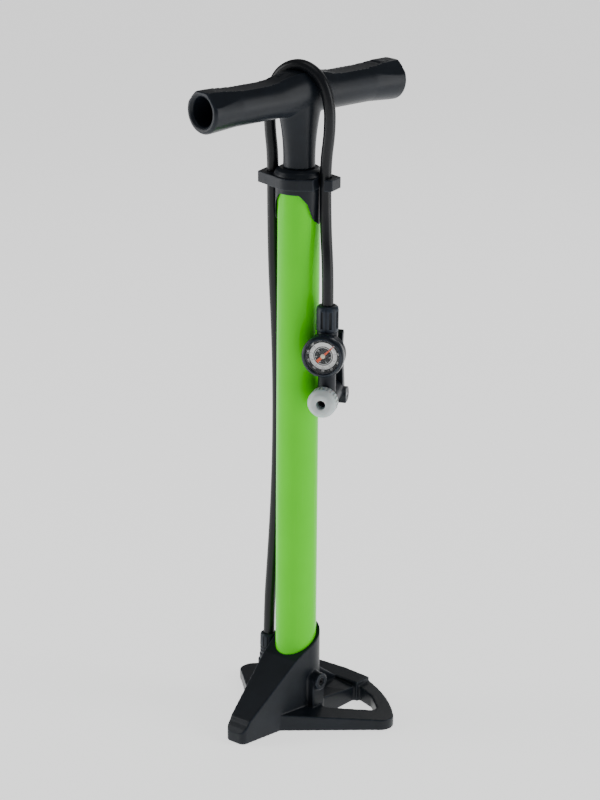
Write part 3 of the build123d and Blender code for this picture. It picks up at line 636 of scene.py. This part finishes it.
def add_camera():
    """A camera that sees the pump as the photograph does."""
    s = sizes()
    turn, tilt, roll = s.camera_turn, s.camera_tilt, s.camera_roll
    view = Vector((-math.sin(turn) * math.cos(tilt), math.cos(turn) * math.cos(tilt),
                   -math.sin(tilt)))
    right = Vector((math.cos(turn), math.sin(turn), 0))
    above = right.cross(view)
    rolled_right = right * math.cos(roll) + above * math.sin(roll)
    rolled_up = above * math.cos(roll) - right * math.sin(roll)
    camera = bpy.data.objects.new("camera", bpy.data.cameras.new("camera"))
    bpy.context.scene.collection.objects.link(camera)
    camera.matrix_world = Matrix((
        (*rolled_right, 0), (*rolled_up, 0), (*(-view), 0), (0, 0, 0, 1))).transposed()
    camera.location = CAMERA_TARGET - view * s.camera_distance
    camera.data.lens = s.camera_lens
    bpy.context.scene.camera = camera


def add_light(name, place, target, wide, tall, power):
    data = bpy.data.lights.new(name, "AREA")
    data.shape = "RECTANGLE"
    data.size, data.size_y = wide, tall
    data.energy = power
    lamp = bpy.data.objects.new(name, data)
    bpy.context.scene.collection.objects.link(lamp)
    lamp.location = place
    lamp.rotation_euler = (Vector(target) - Vector(place)).to_track_quat("-Z", "Y").to_euler()


class PUMP_OT_stage(bpy.types.Operator):
    """Camera, soft lights and a pale floor"""
    bl_idname = "pump.stage"
    bl_label = "Stage"

    def execute(self, context):
        add_camera()
        world = bpy.data.worlds.new("studio")
        world.use_nodes = True
        background = world.node_tree.nodes["Background"]
        background.inputs["Color"].default_value = (1.0, 1.0, 1.0, 1.0)
        background.inputs["Strength"].default_value = WORLD_STRENGTH
        context.scene.world = world
        for light in LIGHTS:
            add_light(*light)
        deselect()
        bpy.ops.mesh.primitive_plane_add(size=sizes().floor_size, location=(0, 0, FLOOR_Z))
        floor = context.object
        floor.name = "studio_floor"
        floor.data.materials.append(finish("studio_floor"))
        return {"FINISHED"}


# ---- hose -----------------------------------------------------------------
def line_points():
    """The smooth centreline, read from the spline through the route."""
    curve = bpy.data.curves.new("hose_line", "CURVE")
    curve.dimensions = "3D"
    spline = curve.splines.new("NURBS")
    spline.points.add(len(HOSE_ROUTE) - 1)
    for point, place in zip(spline.points, HOSE_ROUTE):
        point.co = (*place, 1.0)
    spline.order_u = 3
    spline.use_endpoint_u = True
    spline.resolution_u = 16
    holder = bpy.data.objects.new("hose_line", curve)
    bpy.context.scene.collection.objects.link(holder)
    bpy.context.view_layer.update()
    mesh = bpy.data.meshes.new_from_object(holder)
    points = [v.co.copy() for v in mesh.vertices]
    bpy.data.meshes.remove(mesh)
    bpy.data.objects.remove(holder)
    bpy.data.curves.remove(curve)
    return points


def tube_along(name, centres, radius, sides=28):
    """A closed tube round a line, without twist; its UVs are turns round and metres along."""
    verts, faces, uvs = [], [], []
    side = X_AXIS
    run = 0.0
    lengths = []
    for i, here in enumerate(centres):
        ahead = (centres[min(i + 1, len(centres) - 1)] - centres[max(i - 1, 0)]).normalized()
        side = (side - ahead * side.dot(ahead)).normalized()
        other = ahead.cross(side)
        if i:
            run += (here - centres[i - 1]).length
        lengths.append(run)
        for k in range(sides):
            angle = math.tau * k / sides
            verts.append(here + (side * math.cos(angle) + other * math.sin(angle)) * radius)
    for i in range(len(centres) - 1):
        for k in range(sides):
            a, b = i * sides + k, i * sides + (k + 1) % sides
            faces.append((a, b, b + sides, a + sides))
            u0, u1 = k / sides, (k + 1) / sides
            v0, v1 = lengths[i], lengths[i + 1]
            uvs.extend([(u0, v0), (u1, v0), (u1, v1), (u0, v1)])
    last = (len(centres) - 1) * sides
    faces.append(tuple(reversed(range(sides))))
    faces.append(tuple(range(last, last + sides)))
    uvs.extend([(0, 0)] * (2 * sides))
    mesh = bpy.data.meshes.new(name)
    mesh.from_pydata(verts, [], faces)
    layer = mesh.uv_layers.new(name="UVMap")
    for loop, uv in zip(layer.data, uvs):
        loop.uv = uv
    piece = bpy.data.objects.new(name, mesh)
    bpy.context.scene.collection.objects.link(piece)
    return smooth(piece, 50)


class PUMP_OT_hose(bpy.types.Operator):
    """The hose, from its gland up the barrel and over the handle to the head"""
    bl_idname = "pump.hose"
    bl_label = "Hose"

    def execute(self, context):
        diameter = sizes().hose_diameter
        centres = line_points()
        hose = tube_along("hose", centres, diameter / 2)
        placed(hose, "hose_rubber", None, "hose_rubber", "hose_lower", "hose_arch", "hose_upper")
        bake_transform(hose)
        return {"FINISHED"}


# ---- barrel and base ------------------------------------------------------
class PUMP_OT_barrel(bpy.types.Operator):
    """Enamelled barrel tube with rolled ends"""
    bl_idname = "pump.barrel"
    bl_label = "Barrel"

    def execute(self, context):
        low, high = BARREL_LOW.z / MM, BARREL_HIGH.z / MM
        outer, wall, lip, bands = BARREL_R / MM, 1.5, 0.4, 8
        inner = outer - wall
        profile = [(inner, low), (outer - lip, low), (outer, low + lip)]
        profile += [(outer, low + (high - low) * k / bands) for k in range(1, bands)]
        profile += [(outer, high - lip), (outer - lip, high), (inner, high), (inner, low)]
        tube = turned("barrel_tube", profile, Vector((0, 0, 0)), steps=128)
        placed(smooth(tube), "lime_enamel", "root", "lime_paint", "barrel")
        return {"FINISHED"}


class PUMP_OT_base(bpy.types.Operator):
    """Moulded three-armed base with its foot loops"""
    bl_idname = "pump.base"
    bl_label = "Base"

    def execute(self, context):
        base = moulding_of("base_body", "moulded_base", sizes().mould_voxel,
                           passes=6, faces=170000)
        placed(base, "black_moulding", "root", "black_plastic", "base_body")
        return {"FINISHED"}


class PUMP_OT_gland(bpy.types.Operator):
    """Ribbed gland where the hose leaves the base"""
    bl_idname = "pump.gland"
    bl_label = "Hose gland"

    def execute(self, context):
        low, high = GLAND_LOW.z / MM, GLAND_HIGH.z / MM
        bore = hose_bore()
        socket, flange, neck, rib, pitch = 6.7, 8.7, 7.5, 8.2, 3.4
        profile = [(socket, low), (flange, low), (flange, low + 5.4), (7.6, low + 6.0)]
        for k in range(2):
            z = low + 7.0 + pitch * k
            profile += [(neck, z), (rib, z + 0.5), (rib, z + 2.3), (neck, z + 2.8)]
        profile += [(8.3, low + 14.6), (8.1, high - 2.4), (7.6, high - 0.9), (6.6, high),
                    (bore, high), (bore, low + 3), (socket, low + 3), (socket, low)]
        gland = turned("hose_gland_sleeve", profile, GLAND_AXIS, steps=48)
        flutes = flute_test(GLAND_AXIS, UP, X_AXIS, Y_AXIS, span=(low + 14.5, high - 2.5),
                            radius=7.8, pitch=30, width=8)
        grooved(gland, flutes, depth=0.6)
        rounded(gland, 0.25, angle=40)
        placed(smooth(gland), "black_moulding", "root", "black_plastic", "hose_gland")
        return {"FINISHED"}


# ---- cap and handle -------------------------------------------------------
class PUMP_OT_cap(bpy.types.Operator):
    """Top cap with its two hose clips"""
    bl_idname = "pump.cap"
    bl_label = "Top cap"

    def execute(self, context):
        cap = moulding_of("top_cap", "moulded_cap", 0.5 * MM, passes=5, faces=90000)
        placed(cap, "black_moulding", "root", "black_plastic", "top_cap")
        return {"FINISHED"}


# The handle's turn and the lean of the flats on its flared ends are in degrees. Its other
# sizes, in millimetres, are the grip's axis below the handle's top, the flats from that axis,
# and how far the hub is raised and over what radius.
HANDLE_TURN, FACET_LEANS = -8.2, (-47, 0, 47)
GRIP_DROP, FACET_REACH, HUB_RISE, HUB_SPREAD = 19.5, 17.9, 4.2, 30
CROOK_PASSES = 45


class PUMP_OT_handle(bpy.types.Operator):
    """Moulded T handle with open, dished grips"""
    bl_idname = "pump.handle"
    bl_label = "Handle"

    def execute(self, context):
        turn = math.radians(HANDLE_TURN)
        across = Vector((math.cos(turn), math.sin(turn), 0))
        along = Vector((-math.sin(turn), math.cos(turn), 0))
        grip_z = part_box("handle")[1].z - GRIP_DROP * MM
        centre = Vector((0, 0, grip_z))
        facets = []
        for lean in FACET_LEANS:
            out = UP * math.cos(math.radians(lean)) + across * math.sin(math.radians(lean))
            facets.append((centre + out * (FACET_REACH * MM), out))

        def crook(place):
            """Over 1 in the crook of stem and grip, fading to 0 along the grip, up and down."""
            reach = abs(place.dot(along)) / MM
            drop = (grip_z - place.z) / MM
            return min((44 - reach) / 16, (drop + 12) / 8, (46 - drop) / 10)

        grip = moulding_of("handle", "moulded_handle", sizes().mould_voxel, passes=8,
                           faces=150000, facets=facets, soft=(CROOK_PASSES, crook))
        self.raise_hub(grip, grip_z)
        placed(grip, "handle_moulding", "handle", "handle_plastic", "handle")
        return {"FINISHED"}

    def raise_hub(self, grip, grip_z):
        """Swells the top of the hub up to the hose."""
        pick_faces(grip, lambda place: place.z > grip_z + 15 * MM and place.xy.length < 8 * MM)
        bpy.ops.transform.translate(
            value=(0, 0, HUB_RISE * MM), use_proportional_edit=True,
            use_proportional_connected=True, proportional_edit_falloff="SMOOTH",
            proportional_size=HUB_SPREAD * MM)
        bpy.ops.object.mode_set(mode="OBJECT")


# ---- pump head ------------------------------------------------------------
class PUMP_OT_head(bpy.types.Operator):
    """Moulded head, its lever and the ribbed boot over the hose's end"""
    bl_idname = "pump.head"
    bl_label = "Pump head"

    def execute(self, context):
        body = moulding_of("head_body", "moulded_head", 0.45 * MM, passes=5, faces=90000)
        placed(body, "black_moulding", "root", "black_plastic", "head_body")
        lever = moulding_of("lever", "thumb_lever", 0.4 * MM, passes=4, faces=30000)
        placed(lever, "black_moulding", "lever", "black_plastic", "lever")
        self.boot()
        return {"FINISHED"}

    def boot(self):
        """The sleeve over the hose's end, with eight flutes."""
        low, high = BOOT_LOW.z / MM, BOOT_HIGH.z / MM
        outer = (BOOT_HIGH.x - BOOT_LOW.x) / 2 / MM
        bore = hose_bore()
        profile = [(bore, low), (outer - 0.7, low), (outer, low + 1.2), (outer, low + 3.2),
                   (outer, high - 4.2), (outer - 0.5, high - 1.6), (outer - 1.8, high - 0.3),
                   (outer - 3.0, high), (bore + 0.5, high), (bore, high - 0.6), (bore, low)]
        boot = turned("head_boot_sleeve", profile, HEAD_AXIS, steps=64)
        flutes = flute_test(HEAD_AXIS, UP, X_AXIS, Y_AXIS, span=(low + 3, high - 4),
                            radius=outer - 1, pitch=45, width=17)
        grooved(boot, flutes, depth=1.1, rim=0.3)
        rounded(boot, 0.3, angle=40)
        placed(smooth(boot), "black_moulding", "root", "black_plastic", "head_boot")


DIAL_ZERO, DIAL_SWEEP, TICKS = 45, 270, 40
# Each row of numbers: its steps, what a step is worth, its radius and its height.
NUMBER_ROWS = ((8, 20, 13.9, 2.5), (5, 2, 6.1, 1.9))


def depths_of(node):
    """How far forward of the head's axis a node starts and ends, in millimetres."""
    mesh = frame["nodes"][node].data
    depths = [(v.co - GAUGE_CENTRE).dot(HEAD_FORWARD) / MM for v in mesh.vertices]
    return min(depths), max(depths)


def dial_direction(step, steps):
    """From the dial's centre to one of the equal steps that its scale is divided in."""
    turn = math.radians(DIAL_ZERO + DIAL_SWEEP * step / steps)
    return UP * math.cos(turn) + HEAD_SIDE * math.sin(turn)


class PUMP_OT_gauge(bpy.types.Operator):
    """Bezel, lens, dial and needle of the pressure gauge"""
    bl_idname = "pump.gauge"
    bl_label = "Gauge"

    def execute(self, context):
        back, front = depths_of("gauge_bezel")
        outer, width = 19.2, 3.7
        inner = outer - width
        bezel = turned("gauge_bezel_ring", [
            (outer - 2.6, back), (outer - 0.2, back), (outer, back + 0.4), (outer, front - 3.2),
            (outer - 0.35, front - 1.9), (outer - 1.3, front - 1.2), (outer - 1.6, front - 0.5),
            (outer - 2.1, front - 0.1), (outer - 2.7, front), (outer - 3.2, front - 0.5),
            (inner, front - 1.6), (inner, front - 3.4), (outer - 2.6, front - 3.4),
            (outer - 2.6, back)], GAUGE_CENTRE, HEAD_FORWARD, 96)
        placed(smooth(bezel, 30), "gloss_moulding", "root", "bezel_plastic", "gauge_bezel")
        lens = turned("gauge_window", [
            (0, front - 2.9), (inner - 0.1, front - 2.9), (inner - 0.1, front - 1.7),
            (inner * 0.7, front - 1.35), (inner * 0.35, front - 1.2), (0, front - 1.15)],
            GAUGE_CENTRE, HEAD_FORWARD, 64)
        placed(smooth(lens, 30), "clear_lens", "root", "clear_lens", "gauge_lens")
        self.dial()
        self.needle()
        return {"FINISHED"}

    def dial(self):
        """The dial plate with its rings, ticks and two rows of numbers."""
        back, face = depths_of("gauge_dial")
        disc = self.ring("dial_plate", 1.0, 15.6, back, face)
        placed(smooth(disc, 30), "dial_black", "root", "dial_face", "gauge_dial")
        white = [self.ring("ring", low, high, face - 0.1, face + 0.05)
                 for low, high in ((7.6, 8.0), (8.9, 12.5))]
        black = [self.tick(k, face) for k in range(TICKS + 1)]
        for steps, worth, radius, height in NUMBER_ROWS:
            for k in range(steps + 1):
                along = dial_direction(k, steps)
                white.append(self.digits(str(worth * k), along, radius, height, face))
        placed(joined("dial_white_print", white), "dial_white", "root", "dial_face")
        placed(joined("dial_black_ticks", black), "dial_black", "root", "dial_face")

    def ring(self, name, inner, outer, back, front):
        """A flat ring round the dial's centre, in millimetres."""
        profile = [(inner, back), (outer, back), (outer, front), (inner, front), (inner, back)]
        return turned(name, profile, GAUGE_CENTRE, HEAD_FORWARD, 72)

    def tick(self, step, face):
        """One tick of the scale, longer and wider at every fifth step."""
        half, inner = (0.16, 9.3) if step % 5 == 0 else (0.08, 10.6)
        outer = 12.3
        along = dial_direction(step, TICKS)
        start = GAUGE_CENTRE + HEAD_FORWARD * ((face + 0.04) * MM)
        outline = [(-half, inner), (half, inner), (half, outer), (-half, outer)]
        return plate("tick", outline, start, along.cross(HEAD_FORWARD), along, 0.04)

    def digits(self, text, along, radius, height, face):
        """A number that reads from the dial's centre outwards."""
        bpy.ops.object.text_add()
        number = bpy.context.object
        number.data.body = text
        number.data.size = height * MM
        number.data.align_x = "CENTER"
        number.data.align_y = "CENTER"
        number.data.extrude = 0.04 * MM
        number.data.resolution_u = 3
        only(number)
        bpy.ops.object.convert(target="MESH")
        number = bpy.context.object
        editing(number)
        bpy.ops.mesh.remove_doubles(threshold=WELD_TEXT)
        bpy.ops.mesh.normals_make_consistent(inside=False)
        across = along.cross(HEAD_FORWARD)
        turn = Matrix((across, along, HEAD_FORWARD)).transposed().to_4x4()
        start = GAUGE_CENTRE + along * (radius * MM) + HEAD_FORWARD * ((face + 0.05) * MM)
        number.matrix_world = Matrix.Translation(start) @ turn
        only(number)
        bpy.ops.object.transform_apply(location=True, rotation=True, scale=True)
        return number

    def needle(self):
        """The needle at zero, and the cream hub that holds it."""
        back, front = depths_of("gauge_needle")
        along = dial_direction(0, TICKS)
        across = along.cross(HEAD_FORWARD)
        start = GAUGE_CENTRE + HEAD_FORWARD * (back * MM)
        blade = plate("needle_blade", [
            (-1.5, -7.6), (1.5, -7.6), (1.2, -1.5), (1.25, 0.0), (1.0, 2.0), (0.22, 13.2),
            (-0.22, 13.2), (-1.0, 2.0), (-1.25, 0.0), (-1.2, -1.5)], start, across, along,
            front - back)
        rounded(blade, 0.08)
        placed(smooth(blade), "needle_paint", "needle", "needle_orange", "gauge_needle")
        hub = turned("needle_hub", [(0, front - 0.1), (2.1, front - 0.1), (2.1, front + 0.25),
                                    (1.7, front + 0.5), (0.7, front + 0.6), (0.5, front + 0.4),
                                    (0, front + 0.4)], GAUGE_CENTRE, HEAD_FORWARD, 32)
        placed(smooth(hub, 30), "hub_cream", "needle", "brass")


class PUMP_OT_nut(bpy.types.Operator):
    """Knurled clamp nut round the valve opening"""
    bl_idname = "pump.nut"
    bl_label = "Clamp nut"

    def execute(self, context):
        bore, outer, seat = 4.2, 13.2, 10.06
        back, front, floor = 9.0, 24.5, 15.3
        nut = turned("clamp_nut", [
            (bore, floor), (bore, front - 1.0), (bore + 0.35, front - 0.3), (bore + 1.1, front),
            (outer - 4.6, front), (outer - 3.6, front - 0.5), (outer - 1.0, front - 3.4),
            (outer - 0.3, front - 4.6), (outer, front - 5.6), (outer, back + 1.8),
            (outer - 0.5, back + 0.8), (outer - 0.9, back), (seat, back), (seat, floor),
            (bore, floor)], NOZZLE_CENTRE, HEAD_FORWARD, 96)

        flutes = flute_test(NOZZLE_CENTRE, HEAD_FORWARD, UP, HEAD_SIDE,
                            span=(back + 1.8, front - 5.6), radius=outer - 0.5,
                            pitch=15, width=7.4)
        grooved(nut, flutes, depth=0.6)
        rounded(nut, 0.18, angle=40)
        placed(smooth(nut, 40), "pale_nylon", "nut", "pale_plastic", "nozzle_nut")
        return {"FINISHED"}


# ---- foot valve -----------------------------------------------------------
class PUMP_OT_spring(bpy.types.Operator):
    """Open coil under the valve poppet, made at one length; the real one shortens as the valve
    opens
    """
    bl_idname = "pump.spring"
    bl_label = "Valve spring"

    def execute(self, context):
        low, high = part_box("valve_spring")
        wire_r, turns, steps_per_turn = 0.35 * MM, 3.5, 36
        deselect()
        bpy.ops.mesh.primitive_circle_add(
            vertices=12, radius=wire_r, location=(high.x - wire_r, 0, low.z + wire_r),
            rotation=(math.radians(90), 0, 0))
        spring = context.object
        spring.name = spring.data.name = "coiled_spring"
        bpy.ops.object.transform_apply(location=True, rotation=True, scale=True)
        steps = int(steps_per_turn * turns)
        finished(spring, "SCREW", angle=math.tau * turns, steps=steps, render_steps=steps,
                 screw_offset=high.z - low.z - 2 * wire_r, axis="Z")
        editing(spring)
        bpy.ops.mesh.fill_holes(sides=0)
        bpy.ops.mesh.normals_make_consistent(inside=False)
        placed(smooth(spring, 50), "spring_steel", None, "spring_steel", "valve_spring")
        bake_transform(spring)
        return {"FINISHED"}


# ---- CAD nodes that keep their own shape ----------------------------------
CAD_FINISHES = {
    "base_screws": "zinc_steel", "barrel_lock_screw": "oxide_steel",
    "foot_plug": "grey_moulding", "foot_seal": "seal_rubber", "valve_poppet": "brass",
    "outlet_barb": "brass", "rod_bush": "grey_moulding",
    "rod_wiper": "seal_rubber", "piston_head": "grey_moulding", "piston_cup": "seal_rubber",
    "piston_washer": "zinc_steel", "piston_bolt": "zinc_steel", "piston_rod": "chromed_steel",
    "rod_bumper": "seal_rubber", "handle_insert": "brass", "head_barb": "brass",
    "gauge_case": "zinc_steel", "gauge_spindle": "brass", "gauge_movement": "brass",
    "bourdon_tube": "brass", "nozzle_grommet": "seal_rubber",
    "valve_plunger": "grey_moulding", "lever_pin": "zinc_steel",
}


class PUMP_OT_cad_finishes(bpy.types.Operator):
    """Materials for the CAD nodes that keep their own shape"""
    bl_idname = "pump.cad_finishes"
    bl_label = "Inner pieces"

    def execute(self, context):
        for node, name in CAD_FINISHES.items():
            mesh = frame["nodes"][node].data
            mesh.materials.clear()
            mesh.materials.append(finish(name))
        return {"FINISHED"}


MAKERS = (PUMP_OT_stage, PUMP_OT_hose, PUMP_OT_barrel, PUMP_OT_base, PUMP_OT_gland, PUMP_OT_cap,
          PUMP_OT_handle, PUMP_OT_head, PUMP_OT_gauge, PUMP_OT_nut, PUMP_OT_spring,
          PUMP_OT_cad_finishes)


class PUMP_PT_panel(bpy.types.Panel):
    bl_idname = "PUMP_PT_panel"
    bl_label = "Floor bike pump"
    bl_space_type = "VIEW_3D"
    bl_region_type = "UI"
    bl_category = "Pump"

    def draw(self, context):
        for settings in (context.scene.pump_sizes, context.scene.pump_colours):
            for name in settings.__annotations__:
                self.layout.prop(settings, name)
        for maker in MAKERS:
            self.layout.operator(maker.bl_idname)


CLASSES = (PumpSizes, PumpColours, *MAKERS, PUMP_PT_panel)


def register():
    for each in CLASSES:
        bpy.utils.register_class(each)
    bpy.types.Scene.pump_sizes = bpy.props.PointerProperty(type=PumpSizes)
    bpy.types.Scene.pump_colours = bpy.props.PointerProperty(type=PumpColours)


def unregister():
    del bpy.types.Scene.pump_colours
    del bpy.types.Scene.pump_sizes
    for each in reversed(CLASSES):
        bpy.utils.unregister_class(each)


def main():
    register()
    for maker in MAKERS:
        getattr(bpy.ops.pump, maker.bl_idname.split(".")[1])()
    deselect()


if __name__ == "__main__":
    main()
